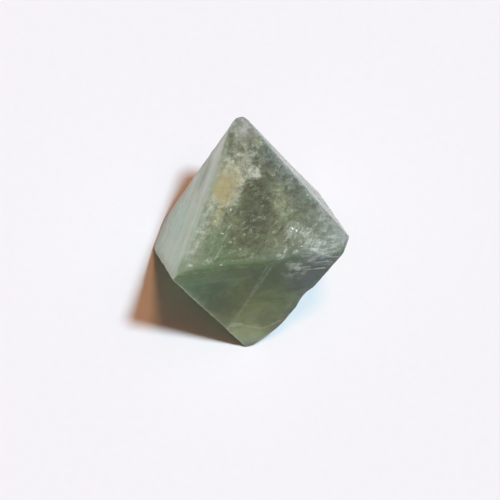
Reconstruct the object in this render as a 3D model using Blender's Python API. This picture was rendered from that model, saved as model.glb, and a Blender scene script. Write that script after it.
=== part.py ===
"""A hand-cleaved octahedron of green fluorite, lying on one of its eight faces.

The crystal is one solid.  A block is split along eight cleavage faces, its six tips are knocked
blunt, and every edge is rounded by handling.  All of it is flat cuts, so the solid stays convex.
Units are metres, +Z is up, and the origin is under the middle of the crystal, on the surface it lies on.
"""
import math

import bmesh
import bpy
from mathutils import Matrix, Vector

MM = 0.001

# ---- driving dimensions ----------------------------------------------------------------------
NAME = "fluorite_octahedron"

# A cleavage face: the compass bearing that it faces (0 is +X, 90 is +Y), how far its normal rises
# above the horizon, and its distance from the middle of the crystal.  Octahedral cleavage gives
# four pairs of opposite faces, 70.5 degrees apart.  Splitting by hand leaves each a degree or two off.
SIDE_RISE = 19.5
TOP_DISTANCE = 8.70 * MM
RESTING_DISTANCE = 8.36 * MM
CLEAVAGE_FACES = {
    "top": (0.0, 90.0, TOP_DISTANCE),
    "resting": (0.0, -90.0, RESTING_DISTANCE),
    "front": (-69.7, SIDE_RISE - 0.7, 9.23 * MM),
    "left": (172.5, SIDE_RISE - 1.1, 8.77 * MM),
    "right": (50.6, SIDE_RISE + 1.2, 10.24 * MM),
    "back": (112.4, -SIDE_RISE - 0.5, 9.65 * MM),
    "under left": (-126.6, -SIDE_RISE + 1.3, 10.63 * MM),
    "under right": (-8.4, -SIDE_RISE - 0.9, 9.12 * MM),
}

# A blunt tip: the bearing and rise that it points along, and how much of the sharp tip is gone.
BLUNT_TIPS = {
    "back tip": (107.0, 32.0, 0.10 * MM),
    "left tip": (-128.5, 34.0, 0.15 * MM),
    "right tip": (-10.0, 30.0, 0.50 * MM),
    "foot tip": (-41.0, -12.0, 0.80 * MM),
    "low left tip": (176.0, -34.0, 0.12 * MM),
    "low right tip": (53.5, -31.0, 0.12 * MM),
}

EDGE_RADIUS = 0.22 * MM
EDGE_FACETS = 3

BLOCK_SIZE = 60 * MM
MERGE_DISTANCE = 0.002 * MM
SMALLEST_TURN = math.radians(12.0)

GREEN = (0.17, 0.24, 0.15, 1.0)
ROUGHNESS = 0.28
REFRACTIVE_INDEX = 1.434


def facing(bearing, rise):
    """The unit vector that a face with this bearing and rise looks along."""
    bearing = math.radians(bearing)
    rise = math.radians(rise)
    return Vector((
        math.cos(rise) * math.cos(bearing),
        math.cos(rise) * math.sin(bearing),
        math.sin(rise),
    ))


def cleave(crystal, normal, distance):
    """Split the crystal along one plane and close the new face."""
    everything = crystal.verts[:] + crystal.edges[:] + crystal.faces[:]
    bmesh.ops.bisect_plane(
        crystal, geom=everything, dist=MERGE_DISTANCE,
        plane_co=normal * distance, plane_no=normal, clear_outer=True,
    )
    rim = [edge for edge in crystal.edges if edge.is_boundary]
    if rim:
        bmesh.ops.holes_fill(crystal, edges=rim)
        bmesh.ops.dissolve_degenerate(crystal, edges=crystal.edges[:], dist=MERGE_DISTANCE)


def split_from_block():
    """The sharp octahedron, with its middle at the origin."""
    crystal = bmesh.new()
    bmesh.ops.create_cube(crystal, size=BLOCK_SIZE)
    for bearing, rise, distance in CLEAVAGE_FACES.values():
        cleave(crystal, facing(bearing, rise), distance)
    return crystal


def blunt_tips(crystal):
    """Knock each sharp tip back by its own small break."""
    for bearing, rise, depth in BLUNT_TIPS.values():
        outward = facing(bearing, rise)
        furthest = max(corner.co.dot(outward) for corner in crystal.verts)
        cleave(crystal, outward, furthest - depth)


def round_edges(crystal):
    """Wear every edge down to a narrow round, as facets that touch a rod laid inside the edge."""
    crystal.normal_update()
    facets = []
    for edge in crystal.edges:
        one, other = (face.normal.copy() for face in edge.link_faces)
        turn = one.angle(other)
        if turn < SMALLEST_TURN:
            continue
        bisector = (one + other).normalized()
        rod = edge.verts[0].co - bisector * (EDGE_RADIUS / math.cos(turn / 2))
        for step in range(EDGE_FACETS):
            normal = one.slerp(other, (step + 1) / (EDGE_FACETS + 1))
            facets.append((normal, normal.dot(rod) + EDGE_RADIUS))
    for normal, distance in facets:
        cleave(crystal, normal, distance)


def set_down(crystal):
    """Stand the resting face on z = 0, with the middle of the outline over the origin."""
    lows = [min(corner.co[axis] for corner in crystal.verts) for axis in range(3)]
    highs = [max(corner.co[axis] for corner in crystal.verts) for axis in range(3)]
    middle = Vector(((lows[0] + highs[0]) / 2, (lows[1] + highs[1]) / 2, lows[2]))
    bmesh.ops.transform(crystal, matrix=Matrix.Translation(-middle), verts=crystal.verts[:])
    print("moved by", [round(value / MM, 3) for value in middle], "mm")
    print("size", [round((high - low) / MM, 2) for low, high in zip(lows, highs)], "mm")


def fluorite():
    """Clear green crystal."""
    material = bpy.data.materials.new("green_fluorite")
    material.use_nodes = True
    shader = material.node_tree.nodes["Principled BSDF"]
    shader.inputs["Base Color"].default_value = GREEN
    shader.inputs["Roughness"].default_value = ROUGHNESS
    shader.inputs["Metallic"].default_value = 0.0
    shader.inputs["IOR"].default_value = REFRACTIVE_INDEX
    return material


def clear_scene():
    for thing in list(bpy.data.objects):
        bpy.data.objects.remove(thing, do_unlink=True)


def main():
    clear_scene()
    collection = bpy.data.collections.new("Fluorite octahedron")
    bpy.context.scene.collection.children.link(collection)

    crystal = split_from_block()
    blunt_tips(crystal)
    round_edges(crystal)
    set_down(crystal)
    bmesh.ops.recalc_face_normals(crystal, faces=crystal.faces[:])

    mesh = bpy.data.meshes.new(NAME)
    crystal.to_mesh(mesh)
    crystal.free()
    mesh.materials.append(fluorite())
    collection.objects.link(bpy.data.objects.new(NAME, mesh))
    print("faces", len(mesh.polygons))


main()
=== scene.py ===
# %% [markdown]
# # A green fluorite octahedron
# The real thing is one natural crystal that was split along its four directions of easy
# cleavage, so it has eight flat faces and no other part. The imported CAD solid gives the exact
# size and the eight planes. This script makes the crystal that is seen: a fine skin on those
# planes, with ledges, striations, frosting and chips, a see-through green body, and the veils
# and cracks that are sealed in it.

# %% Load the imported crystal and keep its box
import math
import random
from collections import namedtuple
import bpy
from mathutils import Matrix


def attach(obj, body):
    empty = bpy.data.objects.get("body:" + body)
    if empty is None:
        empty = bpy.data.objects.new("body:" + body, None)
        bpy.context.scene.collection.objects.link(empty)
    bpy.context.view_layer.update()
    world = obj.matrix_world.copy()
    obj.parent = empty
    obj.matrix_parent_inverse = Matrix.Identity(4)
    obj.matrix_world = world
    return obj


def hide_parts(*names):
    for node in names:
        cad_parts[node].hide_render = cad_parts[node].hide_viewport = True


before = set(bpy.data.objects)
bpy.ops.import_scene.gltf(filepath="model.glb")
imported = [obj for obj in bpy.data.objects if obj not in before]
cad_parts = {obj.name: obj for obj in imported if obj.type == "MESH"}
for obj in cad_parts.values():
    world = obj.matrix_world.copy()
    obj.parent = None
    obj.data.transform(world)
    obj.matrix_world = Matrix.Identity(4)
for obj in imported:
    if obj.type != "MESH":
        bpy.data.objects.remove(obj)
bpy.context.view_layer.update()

from types import SimpleNamespace

import bmesh
import bpy
import numpy as np
from mathutils import Matrix, Quaternion, Vector, noise

MM = 0.001
NODE = "fluorite_octahedron"
BODY = "root"
scene = bpy.context.scene

# %% [markdown]
# ## The camera
# A small stone on a sheet of paper is looked at steeply from above, with the camera leaning a
# little to one side. The place of the camera is easiest to say as a point to aim at, a height
# above the horizon, a lean and a distance. A long lens keeps the far tip as large as the near
# one.

# %% Camera
AIM = Vector((0.32, -1.90, 7.75)) * MM
ELEVATION = math.radians(69.62)
LEAN = math.radians(-11.763)
DISTANCE = 314.136 * MM
LENS_LENGTH = 172.8

towards_camera = Vector((0.0, -math.cos(ELEVATION), math.sin(ELEVATION)))
lens = bpy.data.cameras.new("camera")
lens.lens = LENS_LENGTH
lens.clip_start = 0.01
camera = bpy.data.objects.new("camera", lens)
camera.rotation_mode = "QUATERNION"
upright = (-towards_camera).to_track_quat("-Z", "Y")
camera.rotation_quaternion = Quaternion(towards_camera, -LEAN) @ upright
camera.location = AIM + towards_camera * DISTANCE
scene.collection.objects.link(camera)
scene.camera = camera
print("camera in mm", [round(value / MM, 1) for value in camera.location])

# %% [markdown]
# ## Paper and light
# The stone lies on a plain sheet of white paper. The fibres of the paper are too fine to see
# one by one, so a small noise in its tone stands for them.

# %% Paper
def plain_material(name):
    material = bpy.data.materials.new(name)
    material.use_nodes = True
    return material, material.node_tree, material.node_tree.nodes["Principled BSDF"]


def paper_material():
    material, tree, shader = plain_material("paper")
    place = tree.nodes.new("ShaderNodeTexCoord")
    fibres = tree.nodes.new("ShaderNodeTexNoise")
    fibres.inputs["Scale"].default_value = 900.0
    fibres.inputs["Detail"].default_value = 4.0
    tone = tree.nodes.new("ShaderNodeValToRGB")
    tone.color_ramp.elements[0].color = (0.835, 0.835, 0.835, 1.0)
    tone.color_ramp.elements[1].color = (0.865, 0.865, 0.865, 1.0)
    tree.links.new(place.outputs["Object"], fibres.inputs["Vector"])
    tree.links.new(fibres.outputs["Fac"], tone.inputs["Fac"])
    tree.links.new(tone.outputs["Color"], shader.inputs["Base Color"])
    shader.inputs["Roughness"].default_value = 0.9
    return material


sheet = bmesh.new()
bmesh.ops.create_grid(sheet, x_segments=2, y_segments=2, size=1.0)
paper_mesh = bpy.data.meshes.new("paper")
sheet.to_mesh(paper_mesh)
sheet.free()
paper_mesh.materials.append(paper_material())
paper = bpy.data.objects.new("paper", paper_mesh)
scene.collection.objects.link(paper)
print("paper", paper_mesh.polygons[0].area, "m2 per quarter")


# %% [markdown]
# ## The lights and the room
# Two soft lights make the shadow: cool daylight from a window on the right, and a warm lamp
# almost straight above. Where the stone blocks only the window its shadow turns orange, and
# under the overhang, where both are blocked, it is brown. The ceiling gives some of the lamp's
# light back, from a wide patch. Sun lamps of some width give such soft edges at any distance.
#
# The left face is paler than daylight from the right could make it, so a pale wall lights it.
# That light is linked to the crystal only, because on the paper it would wash out the shadow.
# The world colour depends on who looks: the camera sees a pale backdrop, gloss sees a dim
# grey room, and everything else gets a weak warm fill. The plain view transform keeps the
# paper white instead of grey.

# %% Lights and room
SUNS = {
    # bearing and height in degrees, strength, colour, width in degrees
    "window_light": (19.1, 70.2, 3.34, (0.620, 0.837, 0.985), 8.5),
    "warm_lamp": (54.0, 81.5, 0.86, (1.0, 0.480, 0.215), 10.0),
    "warm_ceiling": (24.0, 68.0, 0.36, (1.0, 0.480, 0.215), 60.0),
    "pale_wall": (188.0, 8.0, 1.60, (0.82, 1.0, 0.86), 60.0),
}
WARM_FILL = (0.090, 0.036, 0.040, 1.0)
BACKDROP = (0.86, 0.87, 0.89, 1.0)
DIM_ROOM = (0.24, 0.25, 0.25, 1.0)


def soft_sun(name, bearing, height, strength, colour, width):
    lamp = bpy.data.lights.new(name, "SUN")
    lamp.energy = strength
    lamp.color = colour
    lamp.angle = math.radians(width)
    holder = bpy.data.objects.new(name, lamp)
    turn, rise = math.radians(bearing), math.radians(height)
    outwards = Vector((math.cos(turn) * math.cos(rise),
                       math.sin(turn) * math.cos(rise), math.sin(rise)))
    holder.rotation_mode = "QUATERNION"
    holder.rotation_quaternion = outwards.to_track_quat("Z", "Y")
    holder.location = outwards * 0.5
    scene.collection.objects.link(holder)
    return holder


def background(tree, colour):
    node = tree.nodes.new("ShaderNodeBackground")
    node.inputs["Color"].default_value = colour
    return node


def room_world():
    room = bpy.data.worlds.new("room")
    room.use_nodes = True
    tree = room.node_tree
    tree.nodes["Background"].inputs["Color"].default_value = WARM_FILL
    shown = tree.nodes["Background"].outputs[0]
    rays = tree.nodes.new("ShaderNodeLightPath")
    for ray, colour in (("Is Glossy Ray", DIM_ROOM), ("Is Camera Ray", BACKDROP)):
        choice = tree.nodes.new("ShaderNodeMixShader")
        tree.links.new(rays.outputs[ray], choice.inputs[0])
        tree.links.new(shown, choice.inputs[1])
        tree.links.new(background(tree, colour).outputs[0], choice.inputs[2])
        shown = choice.outputs[0]
    tree.links.new(shown, tree.nodes["World Output"].inputs["Surface"])
    return room


suns = {name: soft_sun(name, *setting) for name, setting in SUNS.items()}
scene.world = room_world()
scene.view_settings.view_transform = "Standard"
print("lights", list(suns))

# %% [markdown]
# ## The eight cleavage planes
# The planes are read off the CAD solid, so that the crystal that is seen keeps its size. The
# CAD mesh is loose triangles. A copy is merged, and triangles that look the same way are
# counted as one plane. The eight largest are the faces; the small ones are the worn edges and
# blunt tips, and they are kept too.

# %% Read the planes
WELD = 0.002
SAME_PLANE = 0.9998
FACE_COUNT = 8


def cad_copy(node):
    shape = bmesh.new()
    shape.from_mesh(bpy.data.objects[node].data)
    bmesh.ops.remove_doubles(shape, verts=shape.verts, dist=WELD * MM)
    bmesh.ops.recalc_face_normals(shape, faces=shape.faces)
    bmesh.ops.scale(shape, vec=(1.0 / MM,) * 3, verts=shape.verts)
    return shape


def read_planes(shape):
    planes = []
    corners = [corner.co for corner in shape.verts]
    for face in sorted(shape.faces, key=lambda item: -item.calc_area()):
        same = [plane for plane in planes if face.normal.dot(plane[0]) > SAME_PLANE]
        distance = face.normal.dot(face.verts[0].co)
        if same:
            same[0][2] += face.calc_area()
        elif max(face.normal.dot(corner) for corner in corners) < distance + 0.01:
            planes.append([face.normal.copy(), distance, face.calc_area()])
    return sorted(planes, key=lambda plane: -plane[2])


FACE_LOOKS = {
    "top": (0.0, 0.0, 1.0),
    "resting": (0.0, 0.0, -1.0),
    "front": (0.33, -0.89, 0.32),
    "left": (-0.94, 0.12, 0.31),
    "right": (0.59, 0.72, 0.35),
    "back": (-0.36, 0.87, -0.34),
    "under_left": (-0.57, -0.76, -0.31),
    "under_right": (0.93, -0.14, -0.35),
}
blank = cad_copy(NODE)
all_planes = read_planes(blank)
blank.free()
NORMAL, REACH = {}, {}
for name, look in FACE_LOOKS.items():
    plane = max(all_planes[:FACE_COUNT], key=lambda item: item[0].dot(Vector(look)))
    NORMAL[name], REACH[name] = np.array(plane[0]), plane[1]
    print(f"{name:12s} normal {np.round(NORMAL[name], 3)} at {plane[1]:.2f} mm, {plane[2]:.0f} mm2")
print(len(all_planes), "planes with the worn edges and tips")
FACES = list(FACE_LOOKS)

# %% [markdown]
# ## A fine skin inside those planes
# Eight bare triangles can't carry ledges or chips. A block is split along the eight planes, as
# the real stone was, and every edge that is too long is then halved, with ever smaller limits,
# until the skin is fine enough. A voxel remesh would be quicker to write, but it blurs the
# edges. Cutting this way keeps a clean row of points along each of them.

# %% Skin
SKIN_STEP = 0.20
BLOCK = 80.0


def split_block():
    block = bmesh.new()
    bmesh.ops.create_cube(block, size=BLOCK)
    for name in FACES:
        bmesh.ops.bisect_plane(
            block, geom=block.verts[:] + block.edges[:] + block.faces[:],
            plane_co=Vector(NORMAL[name] * REACH[name]), plane_no=Vector(NORMAL[name]),
            clear_outer=True, dist=1e-5)
        rim = [edge for edge in block.edges if edge.is_boundary]
        bmesh.ops.holes_fill(block, edges=rim, sides=0)
    bmesh.ops.dissolve_degenerate(block, edges=block.edges, dist=0.02)
    bmesh.ops.recalc_face_normals(block, faces=block.faces)
    return block


def halve_long_edges(shape):
    bmesh.ops.triangulate(shape, faces=shape.faces, ngon_method="BEAUTY")
    limit = 12.0
    while limit > SKIN_STEP:
        limit = max(limit / 1.5, SKIN_STEP)
        for _ in range(3):
            too_long = [edge for edge in shape.edges if edge.calc_length() > limit]
            if not too_long:
                break
            bmesh.ops.subdivide_edges(shape, edges=too_long, cuts=1)
            wide = [face for face in shape.faces if len(face.verts) > 3]
            bmesh.ops.triangulate(shape, faces=wide, quad_method="SHORT_EDGE")


skin = split_block()
halve_long_edges(skin)
crystal_mesh = bpy.data.meshes.new("fluorite_crystal")
skin.to_mesh(crystal_mesh)
print("skin", len(skin.verts), "points,", len(skin.faces), "triangles, open edges",
      sum(edge.is_boundary for edge in skin.edges))
skin.free()
points = np.empty(len(crystal_mesh.vertices) * 3)
crystal_mesh.vertices.foreach_get("co", points)
points = points.reshape(-1, 3)

# %% [markdown]
# ## Settling the skin on worn planes
# Each plane may be lowered by a different amount at each point. A soft maximum of the distances
# to all the lowered planes tells how far a point still stands above the stone, and the point
# is moved in by that much, a few times over. Where two lowered faces meet, their edge moves in
# with them, so no rim is left standing. The soft maximum also rounds the edges a little, as
# handling does. The edges that are worn most get a plane of their own, halfway between their
# faces and a little further in. The skin is settled once without wear, to find where each
# point lies, and a second time when all the wear is known.

# %% Settle
SHARPNESS = 18.0
WORN_EDGES = {("top", "left"): 0.42, ("top", "front"): 0.05, ("top", "right"): 0.10,
              ("left", "under_left"): 0.12, ("front", "under_left"): 0.06}


def edge_plane(one, other, cut):
    both = NORMAL[one] + NORMAL[other]
    length = np.linalg.norm(both)
    return both / length, (REACH[one] + REACH[other]) / length - cut


edge_planes = [edge_plane(one, other, cut) for (one, other), cut in WORN_EDGES.items()]
small_planes = [(plane[0], plane[1]) for plane in all_planes[FACE_COUNT:] if plane[2] > 0.05]
every_plane = [(NORMAL[name], REACH[name]) for name in FACES] + edge_planes + small_planes
PLANE_NORMALS = np.array([normal for normal, _ in every_plane])
PLANE_REACHES = np.array([reach for _, reach in every_plane])


def settle(spots, lowered, everywhere):
    for _ in range(5):
        gap = spots @ PLANE_NORMALS.T - PLANE_REACHES + everywhere[:, None]
        gap[:, :lowered.shape[1]] += lowered
        nearest = gap.max(axis=1, keepdims=True)
        weight = np.exp(SHARPNESS * (gap - nearest))
        total = weight.sum(axis=1, keepdims=True)
        height = nearest + np.log(total) / SHARPNESS
        slope = weight @ PLANE_NORMALS / total
        spots = spots - height * slope / (slope * slope).sum(axis=1, keepdims=True)
    return spots


no_wear = np.zeros(len(points))
points = settle(points, np.zeros((len(points), len(FACES))), no_wear)
print("settled on", len(PLANE_REACHES), "planes")

# %% [markdown]
# ## Where each point lies
# The relief differs from face to face, so every point is told how much it belongs to each
# face, how far it is from the nearest edge, and the value of a few noises. All random numbers
# come from fixed seeds, so the crystal is the same each time.

# %% Places, edges and noises
FACE_BLEND = 9.0


def clear_step(low, high, values):
    amount = np.clip((values - low) / (high - low), 0.0, 1.0)
    return amount * amount * (3.0 - 2.0 * amount)


def wander(where, size, seed, octaves=1):
    shift = Vector((seed * 17.13, seed * 5.71, seed * 9.37))
    values = [noise.fractal(Vector(point) / size + shift, 1.0, 2.1, octaves)
              for point in where]
    return np.array(values)


gaps = np.array([points @ NORMAL[name] - REACH[name] for name in FACES])
share = np.exp(FACE_BLEND * (gaps - gaps.max(axis=0)))
share = dict(zip(FACES, share / share.sum(axis=0)))
edge_gap = -np.sort(gaps, axis=0)[-2]
warp = np.stack([wander(points, 2.2, seed, 2) for seed in (1, 2, 3)], axis=1)
ripple = wander(points, 0.55, 4, 3)
lowered = {name: np.zeros(len(points)) for name in FACES}
print("points within 0.5 mm of an edge:", int((edge_gap < 0.5).sum()))

# %% [markdown]
# ## Cleavage ledges
# A cleaved face isn't one plane. The split jumps from one layer of the crystal to the next, so
# it leaves low plateaus whose borders run along the crystal's own edge directions. Each ledge
# here is a triangle whose sides are parallel to the sides of its face, slightly bent by noise.

# %% Ledges
LEDGES = {
    "top": (4, 0.010, 0.025),
    "left": (5, 0.010, 0.030),
    "right": (9, 0.015, 0.040),
    "front": (3, 0.006, 0.012),
    "back": (9, 0.015, 0.040),
    "under_left": (8, 0.015, 0.035),
    "under_right": (9, 0.015, 0.040),
}


def ledges(face, count, low, high, seed):
    dice = random.Random(seed)
    others = [name for name in FACES
              if name != face and NORMAL[name] @ NORMAL[face] > 0.0]
    inside = np.flatnonzero(share[face] > 0.001)
    middle = np.flatnonzero(share[face] > 0.9).tolist()
    depth = np.zeros(len(points))
    bent = points[inside] + warp[inside] * 0.3
    for _ in range(count):
        centre = points[dice.choice(middle)]
        size = dice.uniform(0.8, 5.0)
        side = np.max([(bent - centre) @ NORMAL[name] for name in others], axis=0) - size
        depth[inside] += dice.uniform(low, high) * clear_step(0.08, -0.08, side)
    return depth


for number, (face, (count, low, high)) in enumerate(LEDGES.items()):
    lowered[face] += ledges(face, count, low, high, 100 + number)
    print(f"{face:12s} ledges up to {lowered[face].max():.3f} mm deep")

# %% [markdown]
# ## The raised layer on the top face
# The last split left a thin layer standing on the far half of the top face. It is frosted and
# ends in a ragged border that catches the light. The rest of the top is sunk by the thickness
# of that layer, so nothing stands above the CAD plane. The border is a short list of corners,
# roughened by noise.

# %% Raised layer
LAYER_BORDER = [(-1.1, 9.9), (-1.7, 8.2), (-2.0, 6.5), (-0.8, 5.9), (-0.9, 5.1), (-2.2, 4.2),
                (-2.6, 2.5), (-2.7, 1.3), (-2.9, 0.3), (-3.8, -0.2), (-5.0, 0.4),
                (-6.2, 0.6), (-8.0, -1.0), (-12.0, 4.0), (-6.0, 15.0),
                (0.0, 16.0), (0.4, 12.5), (-0.6, 11.2)]
LAYER_THICKNESS = 0.035


def signed_distance(corners, spots):
    corners = np.array(corners)
    nearest = np.full(len(spots), 1e9)
    inside = np.zeros(len(spots), dtype=bool)
    for start, end in zip(corners, np.roll(corners, -1, axis=0)):
        run = end - start
        along = np.clip((spots - start) @ run / (run @ run), 0.0, 1.0)
        away = np.linalg.norm(spots - start - along[:, None] * run, axis=1)
        nearest = np.minimum(nearest, away)
        crosses = (start[1] > spots[:, 1]) != (end[1] > spots[:, 1])
        reach = start[0] + (spots[:, 1] - start[1]) * run[0] / (run[1] or 1e-9)
        inside ^= crosses & (spots[:, 0] < reach)
    return np.where(inside, nearest, -nearest)


rough_spots = points[:, :2] + warp[:, :2] * 0.35 + ripple[:, None] * 0.30
layer_distance = signed_distance(LAYER_BORDER, rough_spots)
on_layer = clear_step(-0.30, 0.30, layer_distance)
layer_rim_highlight = np.exp(-(layer_distance / 0.45) ** 2) * share["top"]
lowered["top"] += (1.0 - on_layer) * LAYER_THICKNESS
print(f"layer covers {100 * (on_layer * share['top']).sum() / share['top'].sum():.0f}% of the top")

# %% [markdown]
# ## Striations
# The left face was split in many narrow strips, so it has fine grooves that run along its
# upper edge. The height there changes quickly across the grooves and hardly at all along them:
# a noise is read at places that are squeezed in the direction of the edge. The hidden faces
# carry the same kind of grooves, only fainter.

# %% Striations
HIDDEN_GROOVES = [("right", "top", 0.04, 1.2, 16), ("under_right", "front", 0.04, 1.5, 13),
                  ("back", "left", 0.04, 1.8, 14), ("under_left", "left", 0.03, 1.6, 15)]


def edge_direction(face, other):
    run = np.cross(NORMAL[face], NORMAL[other])
    return run / np.linalg.norm(run)


def groove_noise(face, other, width, seed, octaves=2):
    along = edge_direction(face, other)
    bent = points + warp * 0.25
    squeezed = bent - np.outer(bent @ along, along) * 0.92
    return wander(squeezed, width, seed, octaves)


lowered["left"] += 0.05 * clear_step(-0.5, 0.6, groove_noise("left", "top", 1.1, 11, 3))
strips = np.abs(groove_noise("left", "top", 2.6, 12))
lowered["left"] += 0.06 * clear_step(0.0, 0.25, strips)
for face, other, depth, width, seed in HIDDEN_GROOVES:
    lowered[face] += depth * clear_step(-0.4, 0.5, groove_noise(face, other, width, seed))
print("left grooves run along", np.round(edge_direction("left", "top"), 2))

# %% [markdown]
# ## Frosting, chips and dents
# The top is frosted by countless tiny pits. Handling has broken small shell-shaped chips from
# the edges, most of all from the front edge near the right tip. A few larger dents are listed.
# All of it takes material away and never adds any. The back tip is worn to a small
# dome, so the bevel beside it fades out there.

# %% Wear
frosting = wander(points, 0.42, 21, 2)
swell = wander(points, 3.5, 22, 2)
lowered["top"] += 0.008 * (frosting + 0.5).clip(0.0, 1.0) + 0.02 * clear_step(0.35, 0.6, ripple)
lowered["right"] += 0.015 * (ripple + 0.5).clip(0.0, 1.0)
for face in ("front", "under_left", "under_right", "back"):
    lowered[face] += 0.04 * (swell + 0.5).clip(0.0, 1.0)

chipping = wander(points, 1.1, 23, 2)
near_edge = np.exp(-(edge_gap / 0.30) ** 2)
scuffed = np.exp(-(np.linalg.norm(points - np.array((7.8, -4.2, 16.8)), axis=1) / 4.5) ** 2)
chips = near_edge * clear_step(0.15, 0.5, chipping) * (0.25 + 0.75 * scuffed)
chipped = 0.10 * chips + 0.012 * near_edge * (ripple + 0.5).clip(0.0, 1.0)
# Glints along the far top edge: white specks, partly crushed frost and partly painted glint.
far_edge = np.exp(-(gaps[FACES.index("top")] ** 2 + gaps[FACES.index("right")] ** 2) / 0.09)
glints = far_edge * clear_step(0.0, 0.4, ripple)

DENTS = [
    ((8.5, -7.0, 8.7), 2.3, 0.24),
    ((11.3, -2.6, 16.4), 0.8, 0.15),
    ((6.5, -5.0, 16.9), 1.1, 0.10),
    ((8.6, -4.1, 16.8), 1.0, 0.10),
    ((-7.6, 5.8, 12.0), 1.4, 0.10),
    ((4.4, 9.0, 13.6), 1.6, 0.14),
    ((-3.2, 11.5, 4.0), 1.8, 0.15),
    ((11.3, 4.0, 9.0), 1.5, 0.18),
    ((-9.8, -7.4, 8.0), 1.4, 0.12),
]
for centre, radius, scoop in DENTS:
    away = np.linalg.norm(points + warp * 0.25 - np.array(centre), axis=1) / radius
    chipped += scoop * np.clip(1.0 - away ** 2, 0.0, 1.0) ** 1.5

rounding = 0.10 * (chipping[:, None] + 0.4).clip(0.0, 1.0) * np.ones((1, len(WORN_EDGES)))
from_back_tip = np.linalg.norm(points - np.array((-4.2, 12.2, 16.5)), axis=1)
rounding[:, 0] -= 0.40 * np.exp(-(from_back_tip / 3.0) ** 2)
lowering = np.stack([lowered[name] for name in FACES], axis=1)
points = settle(points, np.hstack([lowering, rounding]), chipped)
points[:, 2] = np.clip(points[:, 2], 0.0, None)
print(f"chips and dents up to {chipped.max():.2f} mm deep")

# %% [markdown]
# ## Store the masks on the mesh
# The materials need to know where the faces, the layer and the worn edges are. They are kept
# as colour attributes. Each has three parts, so it carries three masks with one value per
# point, and the shader reads it by name. An attribute stays with the mesh, so the pattern
# can't slide. A border mask is one at an edge and fades out on both of its faces.

# %% Finish the skin
MASK_PARTS = {
    "sides": ("top", "left", "front"),
    "relief": ("layer", "rim", "wear"),
    "more_sides": ("right", "front_foot", "far_border"),
    "borders": ("left_border", "front_border", "low_border"),
    "outline": ("dark_rim", "cool_border", "scuffed_tip"),
}


def keep_masks(mesh, masks):
    for name, parts in MASK_PARTS.items():
        layer = mesh.attributes.new(name, "FLOAT_COLOR", "POINT")
        values = np.stack([masks[part] for part in parts] + [np.ones(len(points))], axis=1)
        layer.data.foreach_set("color", values.ravel())


def border(one, other, width):
    farther = np.maximum(np.abs(gaps[FACES.index(one)]), np.abs(gaps[FACES.index(other)]))
    return np.exp(-(farther / width) ** 2)


near_back_tip = np.exp(-(from_back_tip / 6.0) ** 2)
to_top = gaps[FACES.index("top")] - gaps[FACES.index("left")] + 0.10 + 0.25 * ripple
to_top += 1.2 * near_back_tip
to_top = 1.0 / (1.0 + np.exp(-4.0 * to_top))
both = share["top"] + share["left"]
plain_edge = 0.10 * near_edge * (0.4 + ripple) * (1.0 - 0.8 * border("front", "top", 1.0))
crystal_mesh.vertices.foreach_set("co", (points * MM).ravel())
keep_masks(crystal_mesh, {
    "top": both * to_top, "left": both * (1.0 - to_top),
    "front": share["front"], "right": share["right"],
    "layer": on_layer, "rim": layer_rim_highlight, "scuffed_tip": scuffed,
    "wear": np.clip(plain_edge + chips * (0.3 + 0.7 * scuffed) + glints, 0.0, 1.0),
    "front_foot": border("front", "under_left", 1.1),
    "far_border": border("top", "right", 0.45),
    "cool_border": border("top", "right", 2.6),
    "left_border": border("left", "top", 1.6) * (1.0 - 1.7 * near_back_tip).clip(0.0),
    "front_border": border("front", "top", 1.5),
    "low_border": np.maximum(border("left", "under_left", 0.8), border("left", "back", 1.0)),
    "dark_rim": border("front", "under_right", 1.3),
})
crystal_mesh.polygons.foreach_set("use_smooth", [True] * len(crystal_mesh.polygons))
crystal_mesh.update()
crystal = bpy.data.objects.new("fluorite_crystal", crystal_mesh)
scene.collection.objects.link(crystal)
print("box in mm", np.round(points.min(axis=0), 2), np.round(points.max(axis=0), 2))

# %% [markdown]
# ## Patterns that several finishes use
# Each pattern is a node group with its own inputs. A patch is a soft spot with a ragged rim, a
# hairline is a thin line, cleavage traces are thin sheets that lie parallel to a face, and the
# cloud gives the mottling of clear and milky crystal. Groups put out masks only; the numbers
# that belong to the shader stay on the shader.

# %% Node helpers
def new_group(name, inputs, outputs):
    group = bpy.data.node_groups.new(name, "ShaderNodeTree")
    for label, kind, value in inputs:
        socket = group.interface.new_socket(label, in_out="INPUT", socket_type=kind)
        if value is not None:
            socket.default_value = value
    for label, kind in outputs:
        group.interface.new_socket(label, in_out="OUTPUT", socket_type=kind)
    return group, group.nodes.new("NodeGroupInput"), group.nodes.new("NodeGroupOutput")


def feed(tree, socket, value):
    if isinstance(value, bpy.types.NodeSocket):
        tree.links.new(value, socket)
    elif value is not None:
        socket.default_value = value


def calc(tree, operation, first, second=None, third=None, clamp=False):
    node = tree.nodes.new("ShaderNodeMath")
    node.operation = operation
    node.use_clamp = clamp
    for socket, value in zip(node.inputs, (first, second, third)):
        feed(tree, socket, value)
    return node.outputs[0]


def ramp_between(tree, value, low, high, start=0.0, end=1.0):
    node = tree.nodes.new("ShaderNodeMapRange")
    node.interpolation_type = "SMOOTHSTEP"
    feed(tree, node.inputs["Value"], value)
    feed(tree, node.inputs["From Min"], low)
    feed(tree, node.inputs["From Max"], high)
    feed(tree, node.inputs["To Min"], start)
    feed(tree, node.inputs["To Max"], end)
    return node.outputs["Result"]


def grain_noise(tree, vector, scale, detail=3.0, roughness=0.55, distortion=0.0):
    node = tree.nodes.new("ShaderNodeTexNoise")
    feed(tree, node.inputs["Vector"], vector)
    feed(tree, node.inputs["Scale"], scale)
    node.inputs["Detail"].default_value = detail
    node.inputs["Roughness"].default_value = roughness
    node.inputs["Distortion"].default_value = distortion
    return node.outputs["Fac"]


def length_of(tree, vector):
    node = tree.nodes.new("ShaderNodeVectorMath")
    node.operation = "LENGTH"
    feed(tree, node.inputs[0], vector)
    return node.outputs["Value"]


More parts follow.
